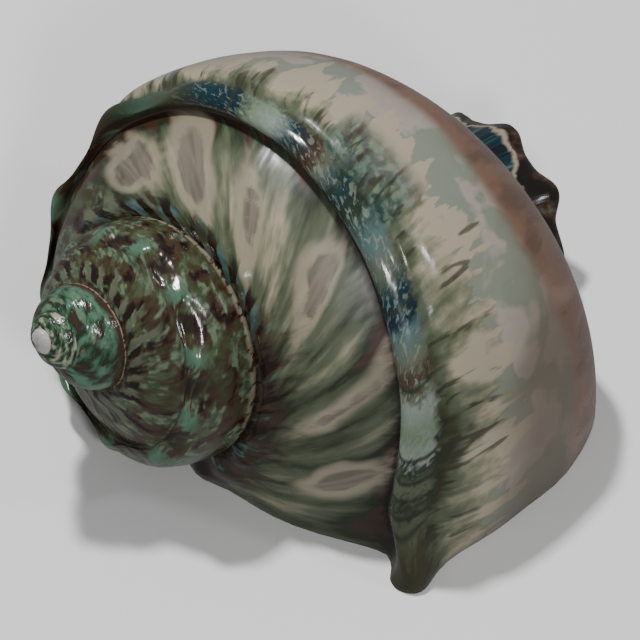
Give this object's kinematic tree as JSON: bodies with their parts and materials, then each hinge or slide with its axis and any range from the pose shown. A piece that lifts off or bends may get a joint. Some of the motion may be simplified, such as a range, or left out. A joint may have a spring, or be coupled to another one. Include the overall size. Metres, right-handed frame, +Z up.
{
  "type": "green turban shell",
  "caption": "Large polished sea snail shell with a keeled last whorl, lying on its open mouth; a display piece or natural curio.",
  "frame": {"origin": "centre of the bounding box's bottom face, on the surface that the shell rests on", "axes": "+X from the apex towards the lip's side, +Y away from the front view, +Z up; +X is the longest extent"},
  "size_m": [0.1542, 0.1515, 0.1045],
  "materials": {
    "shell": "polished, mottled green over cream and nacre"
  },
  "bodies": {
    "root": {"shell": "shell"}
  },
  "joints": []
}
